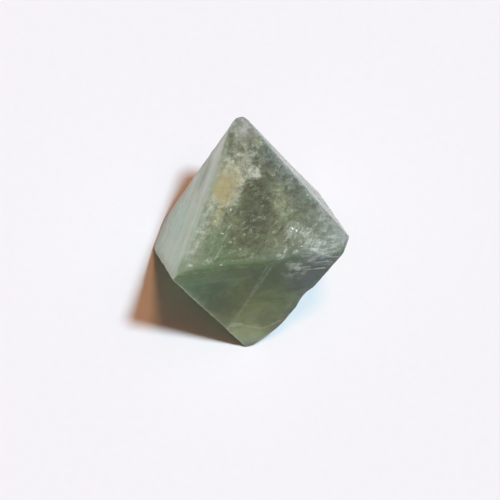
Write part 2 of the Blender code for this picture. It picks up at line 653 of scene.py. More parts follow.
def tint(tree, amount, under, over):
    node = tree.nodes.new("ShaderNodeMix")
    node.data_type = "RGBA"
    feed(tree, node.inputs["Factor"], amount)
    feed(tree, node.inputs["A"], (*under, 1.0) if isinstance(under, tuple) else under)
    feed(tree, node.inputs["B"], (*over, 1.0) if isinstance(over, tuple) else over)
    return node.outputs["Result"]


def brighten(tree, colour, factor):
    node = tree.nodes.new("ShaderNodeVectorMath")
    node.operation = "SCALE"
    feed(tree, node.inputs[0], colour)
    feed(tree, node.inputs["Scale"], factor)
    return node.outputs["Vector"]


def local_space(tree, place, middle, sizes, turn=Quaternion()):
    node = tree.nodes.new("ShaderNodeMapping")
    node.vector_type = "TEXTURE"
    feed(tree, node.inputs["Vector"], place)
    node.inputs["Location"].default_value = Vector(middle) * MM
    node.inputs["Rotation"].default_value = turn.to_euler()
    node.inputs["Scale"].default_value = Vector(sizes) * MM
    return node.outputs["Vector"]


VECTOR, NUMBER = "NodeSocketVector", "NodeSocketFloat"
print("node helpers ready")


# %% Ragged patch, hairline and cloud
def build_patch():
    group, inlet, outlet = new_group(
        "ragged patch",
        [("Patch Space", VECTOR, None), ("Crystal", VECTOR, None), ("Raggedness", NUMBER, 0.6),
         ("Grain", NUMBER, 900.0), ("Softness", NUMBER, 0.5)],
        [("Mask", NUMBER)])
    reach = calc(group, "SUBTRACT", 1.0, length_of(group, inlet.outputs["Patch Space"]))
    rag = calc(group, "SUBTRACT", grain_noise(group, inlet.outputs["Crystal"],
                                              inlet.outputs["Grain"], 4.0, 0.6), 0.5)
    edge = calc(group, "MULTIPLY_ADD", rag, inlet.outputs["Raggedness"], reach)
    mask = ramp_between(group, edge, 0.0, inlet.outputs["Softness"])
    group.links.new(mask, outlet.inputs["Mask"])
    return group


def build_hairline():
    group, inlet, outlet = new_group(
        "hairline",
        [("Line Space", VECTOR, None), ("Crystal", VECTOR, None), ("Wobble", NUMBER, 1.0)],
        [("Mask", NUMBER)])
    split = group.nodes.new("ShaderNodeSeparateXYZ")
    group.links.new(inlet.outputs["Line Space"], split.inputs[0])
    sway = calc(group, "SUBTRACT", grain_noise(group, inlet.outputs["Crystal"], 450.0, 3.0), 0.5)
    across = calc(group, "MULTIPLY_ADD", sway, inlet.outputs["Wobble"], split.outputs["Y"])
    thin = ramp_between(group, calc(group, "ABSOLUTE", across), 1.0, 0.0)
    ends = ramp_between(group, calc(group, "ABSOLUTE", split.outputs["X"]), 1.0, 0.75)
    flat = ramp_between(group, calc(group, "ABSOLUTE", split.outputs["Z"]), 1.0, 0.8)
    gaps_in_line = ramp_between(group, grain_noise(group, inlet.outputs["Crystal"], 1500.0, 2.0),
                                0.35, 0.6, 0.25, 1.0)
    mask = calc(group, "MULTIPLY", calc(group, "MULTIPLY", thin, ends),
                calc(group, "MULTIPLY", flat, gaps_in_line))
    group.links.new(mask, outlet.inputs["Mask"])
    return group


def build_traces():
    group, inlet, outlet = new_group(
        "cleavage traces",
        [("Crystal", VECTOR, None), ("Direction", VECTOR, None), ("Density", NUMBER, 350.0)],
        [("Mask", NUMBER)])
    depth = group.nodes.new("ShaderNodeVectorMath")
    depth.operation = "DOT_PRODUCT"
    group.links.new(inlet.outputs["Crystal"], depth.inputs[0])
    group.links.new(inlet.outputs["Direction"], depth.inputs[1])
    layers = group.nodes.new("ShaderNodeTexNoise")
    layers.noise_dimensions = "1D"
    layers.inputs["Detail"].default_value = 2.0
    group.links.new(calc(group, "MULTIPLY", depth.outputs["Value"], inlet.outputs["Density"]),
                    layers.inputs["W"])
    fold = calc(group, "ABSOLUTE", calc(group, "SUBTRACT", layers.outputs["Fac"], 0.5))
    sheet = ramp_between(group, fold, 0.030, 0.0)
    broken = ramp_between(group, grain_noise(group, inlet.outputs["Crystal"], 120.0, 3.0, 0.6),
                          0.46, 0.64)
    group.links.new(calc(group, "MULTIPLY", sheet, broken), outlet.inputs["Mask"])
    return group


def build_cloud():
    group, inlet, outlet = new_group(
        "crystal cloud",
        [("Crystal", VECTOR, None)],
        [("Cloud", NUMBER), ("Mottle", NUMBER), ("Grain", NUMBER), ("Fibres", NUMBER),
         ("Threads", NUMBER), ("Flecks", NUMBER)])
    place = inlet.outputs["Crystal"]
    sizes = {"Cloud": (240.0, 3.0, 0.6, 0.3), "Mottle": (1000.0, 5.0, 0.68, 0.2),
             "Grain": (3600.0, 3.0, 0.7, 0.0), "Fibres": (1500.0, 6.0, 0.75, 1.2)}
    for label, (scale, detail, roughness, twist) in sizes.items():
        value = grain_noise(group, place, scale, detail, roughness, twist)
        group.links.new(ramp_between(group, value, 0.36, 0.66), outlet.inputs[label])
    drawn_out = local_space(group, place, (0.0, 0.0, 0.0), (1000.0, 2400.0, 1000.0),
                            Quaternion((0.0, 0.0, 1.0), math.radians(-22.0)))
    fold = calc(group, "SUBTRACT", grain_noise(group, drawn_out, 900.0, 3.0, 0.6, 0.6), 0.5)
    ridge = ramp_between(group, calc(group, "ABSOLUTE", fold), 0.03, 0.0)
    broken = ramp_between(group, grain_noise(group, place, 900.0, 2.0), 0.48, 0.62)
    group.links.new(calc(group, "MULTIPLY", ridge, broken), outlet.inputs["Threads"])
    cells = group.nodes.new("ShaderNodeTexVoronoi")
    cells.inputs["Scale"].default_value = 1300.0
    group.links.new(place, cells.inputs["Vector"])
    chance = group.nodes.new("ShaderNodeSeparateColor")
    group.links.new(cells.outputs["Color"], chance.inputs["Color"])
    dot = ramp_between(group, cells.outputs["Distance"], 0.36, 0.14)
    lucky = ramp_between(group, chance.outputs["Red"], 0.80, 0.97)
    group.links.new(calc(group, "MULTIPLY", dot, lucky), outlet.inputs["Flecks"])
    return group


PATCH, HAIRLINE, TRACES, CLOUD = build_patch(), build_hairline(), build_traces(), build_cloud()
print("groups", [group.name for group in (PATCH, HAIRLINE, TRACES, CLOUD)])

# %% [markdown]
# ## Placing a pattern in the crystal
# A Mapping node of the Texture kind turns the crystal's own coordinates into the space of one
# patch or one line: its middle becomes zero and its rim becomes one. The same helper serves
# round patches and long hairlines.

# %% Placing helpers
def put_group(tree, group, links):
    node = tree.nodes.new("ShaderNodeGroup")
    node.node_tree = group
    for label, value in links.items():
        feed(tree, node.inputs[label], value)
    return node


def patch(tree, place, middle, sizes, spin=0.0, rag=0.6, grain=900.0, soft=0.5):
    turn = Quaternion((0.0, 0.0, 1.0), math.radians(spin))
    space = local_space(tree, place, middle, sizes, turn)
    return put_group(tree, PATCH, {"Patch Space": space, "Crystal": place, "Raggedness": rag,
                                   "Grain": grain, "Softness": soft}).outputs["Mask"]


def hairline(tree, place, start, end, face, width=0.09, wobble=1.0):
    start, end = Vector(start), Vector(end)
    along = (end - start).normalized()
    up = Vector(NORMAL[face])
    side = up.cross(along).normalized()
    up = along.cross(side)
    turn = Matrix((along, side, up)).transposed().to_quaternion()
    space = local_space(tree, place, (start + end) / 2,
                        ((end - start).length / 2, width, 1.0), turn)
    return put_group(tree, HAIRLINE, {"Line Space": space, "Crystal": place,
                                      "Wobble": wobble}).outputs["Mask"]


def total_of(tree, masks):
    whole = masks[0]
    for mask in masks[1:]:
        whole = calc(tree, "ADD", whole, mask, clamp=True)
    return whole


print("placing helpers ready")

# %% [markdown]
# ## The crystal's body and finish
# Fluorite is glass-like, with a low refractive index of 1.434. This stone is milky: about half
# of the light goes through its skin and the rest is scattered by frosting and fine veils just
# under it. So one shader does both, with a plain transmission weight, and the colours of its
# scattering part follow the faces, the layer, the iron stain and the veils. The depth of green
# comes from plain absorption in the volume.
#
# The colours are laid one over another, as a painter would do it: a ground for each face, then
# its soft dabs, then what runs across the edges. Each dab is one row of a table. Its middle
# and its three half sizes are in millimetres.

# %% Laying colours
Dab = namedtuple("Dab", "middle sizes paint strength spin rag grain soft",
                 defaults=((1.0, 1.0, 1.0), 1.0, 0.0, 0.5, 900.0, 0.9))


def times(tree, first, second):
    return calc(tree, "MULTIPLY", first, second)


def swing(tree, value, gain, floor):
    return calc(tree, "MULTIPLY_ADD", value, gain, floor)


def lay(tree, under, mask, over, strength=1.0):
    amount = mask if strength == 1.0 else times(tree, mask, strength)
    return tint(tree, amount, under, over)


def dab_mask(tree, place, dab):
    return patch(tree, place, dab.middle, dab.sizes, dab.spin, dab.rag, dab.grain, dab.soft)


def lay_dabs(tree, place, colour, dabs):
    masks = {}
    for name, dab in dabs.items():
        masks[name] = dab_mask(tree, place, dab)
        colour = lay(tree, colour, masks[name], dab.paint, dab.strength)
    return colour, masks


def all_dabs(tree, place, dabs):
    return total_of(tree, [dab_mask(tree, place, dab) for dab in dabs])


def hairlines(tree, place, face, wobble, lines):
    return [hairline(tree, place, start, end, face, width, wobble) for start, end, width in lines]


print("a dab has", ", ".join(Dab._fields))

# %% [markdown]
# ## What the finishes read
# Every finish starts from the same readings: the place in the crystal, the cloudy patterns,
# the masks that are stored on the mesh, and three widths of strips along the grooves of the
# left face. The cleavage traces are seen through the clear faces.

# %% Readings
STRIPS = {"broad": (0.45, 4.0, 0.65, 0.36, 0.64), "strips": (1.4, 4.0, 0.65, 0.35, 0.65),
          "fine_strips": (4.0, 3.0, 0.6, 0.36, 0.64)}
TRACE_DENSITY = {"top": 210.0, "left": 160.0}


def read_masks(tree):
    masks = {}
    for attribute, parts in MASK_PARTS.items():
        reader = tree.nodes.new("ShaderNodeAttribute")
        reader.attribute_name = attribute
        split = tree.nodes.new("ShaderNodeSeparateColor")
        tree.links.new(reader.outputs["Color"], split.inputs["Color"])
        masks.update(zip(parts, split.outputs))
    return masks


def read_strips(tree, place):
    run = Vector(edge_direction("left", "top"))
    side = Vector(NORMAL["left"]).cross(run)
    turn = Matrix((run, side, Vector(NORMAL["left"]))).transposed().to_quaternion()
    space = local_space(tree, place, (-8.0, 0.0, 10.0), (14.0, 1.0, 1.0), turn)
    return {name: ramp_between(tree, grain_noise(tree, space, scale, detail, rough), low, high)
            for name, (scale, detail, rough, low, high) in STRIPS.items()}


def read_stone(tree):
    place = tree.nodes.new("ShaderNodeTexCoord").outputs["Object"]
    cloud = put_group(tree, CLOUD, {"Crystal": place}).outputs
    traces = total_of(tree, [
        put_group(tree, TRACES, {"Crystal": place, "Direction": Vector(NORMAL[name]),
                                 "Density": density}).outputs["Mask"]
        for name, density in TRACE_DENSITY.items()])
    return SimpleNamespace(place=place, cloud=cloud, traces=traces, **read_masks(tree),
                           **read_strips(tree, place))


print("strips", list(STRIPS), "and traces", list(TRACE_DENSITY))

# %% [markdown]
# ## Hidden faces and the front face
# The hidden faces are clear green, with slanting colour zones and pale cleavage traces. The
# front face is the one that is looked into: teal towards the left tip, olive in the middle and
# slate at the right. Near the foot it is painted pale, a painted glow for the light that comes
# up from the paper.

# %% Ground and front
FRONT_DABS = {
    "teal": Dab((-6.5, -10.0, 13.5), (6.5, 6.0, 5.0), (0.190, 0.330, 0.172), rag=0.3,
                grain=300.0),
    "olive": Dab((1.5, -9.5, 9.0), (5.5, 5.0, 6.0), (0.265, 0.315, 0.088), rag=0.3, grain=300.0),
    "slate": Dab((9.3, -5.0, 12.6), (6.0, 5.0, 7.0), (0.165, 0.205, 0.208), rag=0.4,
                 grain=300.0, soft=0.8),
}
# Painted glow near the foot of the front face, for light that comes up from the paper.
FOOT_GLOW = Dab((1.8, -12.6, 0.8), (6.4, 5.0, 4.6), (0.600, 0.760, 0.410), rag=0.7, grain=600.0,
           soft=0.8)


def ground_colour(tree, stone):
    zones = local_space(tree, stone.place, (0.0, 0.0, 0.0), (1.0, 1.0, 4.0),
                        Quaternion((0.8, 0.5, 0.3), math.radians(50.0)))
    zoning = ramp_between(tree, grain_noise(tree, zones, 0.22, 4.0, 0.6, 0.4), 0.36, 0.64)
    ground = tint(tree, zoning, (0.150, 0.220, 0.105), (0.300, 0.400, 0.240))
    ground = lay(tree, ground, stone.cloud["Fibres"], (0.45, 0.54, 0.38), 0.25)
    return lay(tree, ground, stone.traces, (0.66, 0.76, 0.60), 0.30)


def front_colour(tree, stone):
    cloud = stone.cloud["Cloud"]
    body = tint(tree, cloud, (0.180, 0.248, 0.092), (0.226, 0.296, 0.124))
    body, _ = lay_dabs(tree, stone.place, body, FRONT_DABS)
    height = tree.nodes.new("ShaderNodeSeparateXYZ")
    tree.links.new(stone.place, height.inputs[0])
    # Painted glow: the front is laid paler towards the paper and along its foot, for the light that
    # comes up from below.
    low = ramp_between(tree, height.outputs["Z"], 9.5 * MM, 2.0 * MM)
    body = lay(tree, body, low, (0.585, 0.620, 0.262), 0.85)
    foot = times(tree, dab_mask(tree, stone.place, FOOT_GLOW), swing(tree, cloud, 0.4, 0.55))
    body = lay(tree, body, foot, FOOT_GLOW.paint)
    body = lay(tree, body, stone.front_foot, (0.460, 0.520, 0.280), 0.15)
    # Painted shade: the edge at the lower right is darkened.
    body = lay(tree, body, stone.dark_rim, (0.150, 0.186, 0.190), 0.75)
    drifts = swing(tree, cloud, 0.34, 0.68)
    return brighten(tree, body, times(tree, drifts, swing(
        tree, stone.cloud["Mottle"], 0.20, 0.92)))


print("front face in", len(FRONT_DABS), "dabs and a foot")

# %% [markdown]
# ## The top face
# It has a dark valley beside the raised layer, clear green near the left tip and a cool border
# at the far edge. The layer is frosted, with a grey back tip, and its ragged rim and one patch
# beside it are painted pale as a highlight where they catch the light. The yellow stain is iron
# that came with water: strong on the layer, with a thin tail that runs down from it. Where the
# top meets the left face there is a milky band, painted paler as the highlight on that edge.

# %% Top
TOP_DABS = {
    "valley": Dab((0.0, 0.2, 17.0), (2.6, 6.8, 3.0), (0.094, 0.130, 0.046), spin=11.0, rag=0.7,
                  grain=500.0, soft=0.5),
    "fresh": Dab((-4.0, -6.8, 17.0), (4.0, 4.4, 3.0), (0.165, 0.285, 0.112), grain=400.0,
                 soft=0.8),
    "lower_shade": Dab((0.2, -4.2, 17.0), (4.3, 2.0, 3.0), (0.095, 0.135, 0.035), 0.9, 15.0,
                       rag=0.7, grain=500.0),
    "drift": Dab((3.0, 1.8, 17.0), (1.6, 3.6, 3.0), (0.400, 0.460, 0.280), 0.75, 18.0, rag=0.9,
                 grain=500.0),
    "shade": Dab((-5.9, -1.6, 17.0), (1.2, 1.9, 3.0), (0.240, 0.290, 0.160), rag=0.6,
                 grain=500.0, soft=0.8),
    "shore": Dab((8.8, 0.6, 17.0), (2.8, 2.6, 3.0), (0.420, 0.500, 0.430), spin=-50.0, rag=0.8,
                 grain=600.0),
    "milk": Dab((-7.3, -6.6, 17.0), (1.6, 4.6, 3.0), (0.430, 0.570, 0.370), 0.8, -8.0,
                grain=600.0),
}
GREY_TIP = {"grey_tip": Dab((-3.9, 11.2, 17.0), (3.0, 2.8, 3.0), (0.520, 0.530, 0.510), 0.8,
                            grain=600.0)}
STAIN = Dab((-4.7, 2.3, 17.0), (3.8, 5.6, 3.0), spin=-12.0, grain=600.0)
TAIL = Dab((-4.5, -1.9, 17.0), (1.0, 2.6, 3.0), spin=-10.0, rag=0.6, grain=600.0)
IRON = Dab((-4.5, 1.3, 17.0), (3.6, 6.0, 3.0), spin=-12.0, rag=0.4, grain=600.0)
# Painted highlight: a pale patch where the layer border faces the light.
LIT_LIP = {"lit_lip": Dab((-1.3, 5.0, 17.0), (1.2, 1.0, 2.0), (0.74, 0.78, 0.64), rag=1.2,
                  grain=1100.0, soft=0.7)}


def stain_mask(tree, stone):
    held_by_layer = ramp_between(tree, stone.layer, 0.0, 1.0, 0.3, 1.0)
    return total_of(tree, [times(tree, dab_mask(tree, stone.place, STAIN), held_by_layer),
                           times(tree, dab_mask(tree, stone.place, TAIL), 0.40)])


def top_colour(tree, stone):
    cloud, place = stone.cloud, stone.place
    roof = tint(tree, cloud["Cloud"], (0.158, 0.208, 0.074), (0.262, 0.315, 0.165))
    cool = times(tree, stone.cool_border, swing(tree, cloud["Cloud"], 0.4, 0.6))
    roof = lay(tree, roof, cool, (0.160, 0.215, 0.215))
    roof, dabs = lay_dabs(tree, place, roof, TOP_DABS)
    frosted = tint(tree, cloud["Cloud"], (0.285, 0.305, 0.205), (0.485, 0.505, 0.395))
    roof = lay(tree, roof, stone.layer, lay_dabs(tree, place, frosted, GREY_TIP)[0])
    # Painted highlight: the milky band along the top-left edge is laid paler, as the light on that
    # rounded edge.
    band = times(tree, stone.left_border, swing(tree, stone.broad, 0.25, 0.75))
    pale_band = tint(tree, stone.strips, (0.56, 0.63, 0.50), (0.80, 0.87, 0.74))
    roof = lay(tree, roof, band, pale_band)
    stained = stain_mask(tree, stone)
    iron = tint(tree, dab_mask(tree, place, IRON), (0.89, 0.88, 0.60), (0.60, 0.525, 0.250))
    roof = lay(tree, roof, stained, iron, 0.9)
    # Painted highlight: the rim of the layer, and the patch after it, are laid pale where the
    # border catches the light.
    catching_light = ramp_between(tree, cloud["Fibres"], 0.3, 0.9, 0.0, 0.7)
    roof = lay(tree, roof, times(tree, stone.rim, catching_light), (0.70, 0.74, 0.60))
    roof, _ = lay_dabs(tree, place, roof, LIT_LIP)
    texture = times(tree, swing(tree, cloud["Mottle"], 0.80, 0.60),
                    swing(tree, cloud["Grain"], 0.36, 0.84))
    calm = calc(tree, "MAXIMUM", times(tree, dabs["fresh"], 0.6), times(tree, stained, 0.7))
    roof = brighten(tree, roof, ramp_between(tree, calm, 0.0, 1.0, texture, 1.04))
    frost = times(tree, stone.far_border, ramp_between(tree, cloud["Fibres"], 0.3, 0.9))
    return lay(tree, roof, frost, (0.70, 0.78, 0.74))


print("top face in", len(TOP_DABS), "dabs, with a stain, a tail and a lip")

# %% [markdown]
# ## The left face
# It is milky, because it is split in many thin strips along its upper edge, and its pale colour
# is also painted light, for the light that passes through the stone and leaves by this face,
# with a painted highlight near its upper edge. A few thin dark lines lie between the strips, and
# the foot takes painted shade and a painted olive reflection of the shadowed paper below.

# %% Left
# The glow and crest dabs are painted light: near-white patches for light that comes through the
# stone, and a highlight along the upper edge.
LEFT_DABS = {
    "dusk": Dab((-7.8, 5.4, 12.4), (2.0, 4.6, 3.6), (0.50, 0.54, 0.48), 0.9),
    "glow": Dab((-9.4, -4.6, 10.8), (1.9, 3.2, 3.4), (0.93, 1.0, 0.88), 0.8),
    "crest": Dab((-6.0, 8.9, 15.2), (2.0, 3.0, 3.0), (1.0, 1.0, 0.96), 0.8),
    "cyan": Dab((-9.8, -0.4, 8.0), (4.0, 5.5, 5.5), (0.72, 1.00, 0.85), 0.8),
    "sandy": Dab((-10.4, -7.0, 8.5), (2.6, 4.2, 7.0), (0.90, 0.94, 0.70), 0.4, rag=0.6),
}
# Thin dark lines between the strips of the left face.
LEFT_DARK_LINES = [((-7.5, 4.2, 13.1), (-7.9, -0.2, 13.4), 0.20),
          ((-9.5, 2.6, 7.5), (-10.4, -0.4, 5.9), 0.20),
          ((-10.2, -1.2, 7.0), (-10.9, -4.8, 6.1), 0.18),
          ((-7.2, 7.8, 12.7), (-7.5, 4.6, 12.4), 0.18)]


def left_colour(tree, stone):
    # Painted light: the milky ground is laid near white, for light that passes through the stone.
    milky = tint(tree, stone.broad, (0.72, 0.86, 0.70), (0.96, 1.00, 0.91))
    milky, _ = lay_dabs(tree, stone.place, milky, LEFT_DABS)
    # Painted shade and a painted olive reflection of the shadowed paper along the foot of the face.
    milky = lay(tree, milky, stone.low_border, (0.36, 0.35, 0.23), 0.75)
    milky = brighten(tree, milky, swing(tree, stone.strips, 0.22, 0.85))
    milky = brighten(tree, milky, swing(tree, stone.fine_strips, 0.13, 0.94))
    dark_lines = total_of(tree, hairlines(tree, stone.place, "left", 0.15, LEFT_DARK_LINES))
    return lay(tree, milky, dark_lines, (0.20, 0.25, 0.21), 0.45)


print("left face in", len(LEFT_DABS), "dabs and", len(LEFT_DARK_LINES), "dark_lines")

# %% [markdown]
# ## Across the edges, and the veils at the right tip
# The faces are joined by their soft masks. The long front edge gets a little painted shade, the
# edge at the lower right much more, and the left corner is pale. A haze lies over the right tip,
# with white strokes along two directions of cleavage: level ones at the tip, and a fan of upright
# ones beside it.

# %% Joined faces and veils
CORNER = {"corner": Dab((-7.7, -9.2, 16.6), (2.4, 2.4, 3.0), (0.34, 0.43, 0.26), 0.55)}
ALONG_FRONT_EDGE, ACROSS_TIP = 19.5, 72.0
HAZE = Dab((9.2, -3.2, 16.0), (4.2, 2.9, 3.0), spin=ALONG_FRONT_EDGE, rag=0.6, grain=500.0)
BLUE_TIP = {"blue_tip": Dab((10.9, -1.1, 16.8), (2.4, 1.7, 3.0), (0.48, 0.57, 0.56), 0.75,
                            ALONG_FRONT_EDGE, rag=0.6, grain=500.0)}
FAN = [Dab(middle, sizes, rag=1.0, soft=0.8) for middle, sizes in (
    ((5.6, -1.6, 16.8), (2.3, 1.8, 3.0)), ((8.2, -2.4, 16.8), (2.8, 1.5, 3.0)),
    ((4.4, -4.6, 16.8), (1.2, 1.6, 3.0)))]
BRIGHT_FAN = [Dab(middle, (wide, high, 2.0), spin=spin, rag=1.2, grain=1300.0, soft=0.8)
              for middle, wide, high, spin in (
                  ((5.1, -1.5, 17.0), 1.4, 0.8, ACROSS_TIP), ((7.0, -1.5, 17.0), 1.3, 0.9, 25.0),
                  ((8.7, -2.5, 17.0), 1.5, 0.5, ALONG_FRONT_EDGE),
                  ((9.6, -3.7, 16.9), 1.2, 0.4, ALONG_FRONT_EDGE))]
WISPS = Dab((6.6, -5.8, 14.6), (2.0, 1.6, 2.4), rag=1.2, grain=800.0, soft=0.8)


def joined_faces(tree, stone):
    colour = tint(tree, stone.top, ground_colour(tree, stone), top_colour(tree, stone))
    colour = tint(tree, stone.front, colour, front_colour(tree, stone))
    colour = tint(tree, stone.left, colour, left_colour(tree, stone))
    # Painted shade: the long front edge is darkened.
    colour = lay(tree, colour, stone.front_border, (0.160, 0.238, 0.115), 0.50)
    # Painted shade: a near-black outline right at the edge at the lower right.
    outline = calc(tree, "POWER", stone.dark_rim, 14.0)
    colour = lay(tree, colour, outline, (0.030, 0.042, 0.042))
    return lay_dabs(tree, stone.place, colour, CORNER)[0]


def strokes_along(tree, place, middle, spin, stretch, fineness):
    space = local_space(tree, place, middle, (stretch, 1.0, 1.0),
                        Quaternion((0.0, 0.0, 1.0), math.radians(spin)))
    return ramp_between(tree, grain_noise(tree, space, fineness, 5.0, 0.75), 0.47, 0.60)


def lay_veils(tree, stone, colour):
    cloud, place, front = stone.cloud, stone.place, stone.front
    haze = dab_mask(tree, place, HAZE)
    haze_colour = tint(tree, front, (0.285, 0.345, 0.325), (0.205, 0.265, 0.275))
    colour = lay(tree, colour, haze, haze_colour, 0.75)
    colour, dabs = lay_dabs(tree, place, colour, BLUE_TIP)
    colour = lay(tree, colour, stone.scuffed_tip, (0.23, 0.28, 0.26), 0.42)
    level = strokes_along(tree, place, (8.0, -3.0, 16.5), ALONG_FRONT_EDGE, 5.0, 3.4)
    upright = strokes_along(tree, place, (6.0, -1.6, 17.0), ACROSS_TIP, 3.6, 3.8)
    fan = all_dabs(tree, place, FAN)
    veils = total_of(tree, [times(tree, haze, level),
                            times(tree, times(tree, dabs["blue_tip"], level), 0.6),
                            times(tree, fan, upright)])
    fibrous = ramp_between(tree, cloud["Fibres"], 0.25, 1.0, 0.12, 0.95)
    colour = lay(tree, colour, times(tree, fan, times(tree, fibrous, 0.45)), (0.52, 0.60, 0.50))
    strokes = calc(tree, "MAXIMUM", times(tree, fibrous, 0.5), upright)
    bright_fan = times(tree, all_dabs(tree, place, BRIGHT_FAN), swing(tree, strokes, 0.75, 0.22))
    colour = lay(tree, colour, bright_fan, (0.78, 0.88, 0.76))
    white = tint(tree, front, (0.80, 0.90, 0.81), (0.98, 1.0, 0.98))
    colour = lay(tree, colour, veils, white, 0.9)
    wisps = times(tree, dab_mask(tree, place, WISPS), cloud["Mottle"])
    return lay(tree, colour, wisps, (0.74, 0.84, 0.70))


print("veils from", len(FAN), "+", len(BRIGHT_FAN), "dabs")

# %% [markdown]
# ## Small marks
# A healed crack shows in the front face as two thin lines, and another as a bent pale line
# near the foot. Small cleavage flakes sparkle on the top: their bump and gloss give real glints,
# and they are also painted near white. Over all of them come the pale right face, the bruised
# edges, which are white because they are crushed, and white specks along the far top edge,
# partly crushed frost and partly painted glint.

# %% Marks
CRACKS = [((3.9, -5.9, 17.2), (-0.4, -12.1, 4.3), 0.38),
          ((3.1, -6.4, 16.8), (1.5, -9.2, 10.6), 0.26)]
FOOT_LINES = [((-0.5, -12.3, 3.7), (-0.1, -11.5, 5.9), 0.34),
              ((-0.2, -11.6, 5.7), (1.9, -11.3, 4.7), 0.42),
              ((1.7, -11.4, 4.7), (4.1, -10.8, 3.6), 0.30),
              ((4.0, -10.8, 3.6), (6.4, -9.4, 4.9), 0.28)]
FOOT_KNOT = Dab((0.6, -11.7, 5.1), (1.2, 1.0, 0.5), rag=1.4, grain=1500.0, soft=0.5)
STREAKS = [((5.0, -5.9, 16.1), (7.4, -5.1, 15.5), 0.24),
           ((7.7, -5.6, 14.4), (10.4, -4.5, 14.2), 0.26),
           ((6.4, -5.8, 15.0), (8.6, -4.9, 14.8), 0.18)]
# Sparkles: their glint comes from bump and low roughness, and is also painted near white.
SPARKLES = [Dab((x, y, 17.0), (wide, high, 1.0), spin=ALONG_FRONT_EDGE, grain=2500.0, soft=1.0)
            for x, y, wide, high in (
                (-6.80, -4.20, 0.34, 0.34), (8.70, -2.40, 0.34, 0.22), (4.98, -1.27, 0.30, 0.26),
                (-6.80, -9.00, 0.60, 0.30), (-0.95, -5.50, 0.26, 0.18), (9.47, -3.74, 0.40, 0.18),
                (-3.12, -0.43, 0.20, 0.20), (8.90, -4.15, 0.50, 0.16), (5.53, -1.43, 0.30, 0.36),
                (-3.60, -3.90, 0.24, 0.20), (-2.90, -8.10, 0.26, 0.20),
                (6.56, -3.40, 0.30, 0.16))]


def lay_marks(tree, stone, colour, sparkles):
    cloud, place, top, front = stone.cloud, stone.place, stone.top, stone.front
    seams = times(tree, stone.traces, times(tree, front, 0.12))
    colour = lay(tree, colour, seams, (0.66, 0.76, 0.56))
    threads = times(tree, cloud["Threads"], times(tree, top, 0.60))
    colour = lay(tree, colour, threads, (0.56, 0.64, 0.48))
    flecks = times(tree, cloud["Flecks"], swing(tree, top, 0.50, 0.06))
    colour = lay(tree, colour, flecks, (0.72, 0.90, 0.68))
    # Painted glint: the sparkles are laid near white.
    colour = lay(tree, colour, sparkles, (0.86, 1.0, 0.84))
    cracks = total_of(tree, hairlines(tree, place, "front", 0.5, CRACKS))
    colour = lay(tree, colour, cracks, (0.56, 0.66, 0.48), 0.40)
    foot_lines = total_of(tree, hairlines(tree, place, "front", 0.7, FOOT_LINES)
                          + [dab_mask(tree, place, FOOT_KNOT)])
    colour = lay(tree, colour, foot_lines, (0.90, 1.0, 0.80), 0.45)
    streaks = total_of(tree, hairlines(tree, place, "front", 0.6, STREAKS))
    colour = lay(tree, colour, streaks, (0.88, 0.94, 0.86), 0.8)
    pale_right = tint(tree, cloud["Cloud"], (0.56, 0.64, 0.56), (0.82, 0.88, 0.82))
    pale_right = brighten(tree, pale_right, swing(tree, cloud["Mottle"], 0.16, 0.90))
    colour = lay(tree, colour, stone.right, pale_right)
    # Bruised edges and painted glints: both are laid pale.
    return lay(tree, colour, stone.wear, (0.66, 0.72, 0.68), 0.7)


print(len(CRACKS) + len(FOOT_LINES) + len(STREAKS), "lines and", len(SPARKLES), "sparkles")

# %% [markdown]
# ## Gloss and the finest relief
# The top and the left face are satin, and the faces that were split last are polished. The
# bevel of the long front edge is rubbed dull, or it would mirror the lamp as a bright line.
# Grain, strips and sparkles that are finer than the mesh are a bump of 0.02 mm.

# %% Gloss and relief
def satin_gloss(tree, stone, sparkles):
    satin = swing(tree, stone.right, 0.12, swing(tree, stone.left, 0.20, 0.12))
    satin = swing(tree, stone.top, 0.22, satin)
    satin = swing(tree, stone.cloud["Mottle"], 0.12, satin)
    satin = calc(tree, "MULTIPLY_ADD", stone.wear, 0.20, satin, clamp=True)
    rubbed = calc(tree, "POWER", stone.front_border, 10.0)
    satin = calc(tree, "MULTIPLY_ADD", rubbed, 0.45, satin, clamp=True)
    return ramp_between(tree, sparkles, 0.0, 0.6, satin, 0.06)


def fine_relief(tree, stone, sparkles):
    height = times(tree, stone.cloud["Grain"], swing(tree, stone.top, 0.8, 0.2))
    height = calc(tree, "MULTIPLY_ADD", stone.fine_strips, times(tree, stone.left, 1.5), height)
    height = swing(tree, stone.cloud["Mottle"], 0.5, height)
    height = swing(tree, sparkles, 9.0, height)
    bump = tree.nodes.new("ShaderNodeBump")
    bump.inputs["Strength"].default_value = 0.3
    bump.inputs["Distance"].default_value = 0.02 * MM
    tree.links.new(height, bump.inputs["Height"])
    return bump.outputs["Normal"]


print("gloss and relief helpers ready")

# %% Crystal material
FLUORITE_INDEX = 1.434
CLEAR_SHARE = 0.55
BODY_GREEN = (0.52, 0.70, 0.48, 1.0)
BODY_DENSITY = 60.0


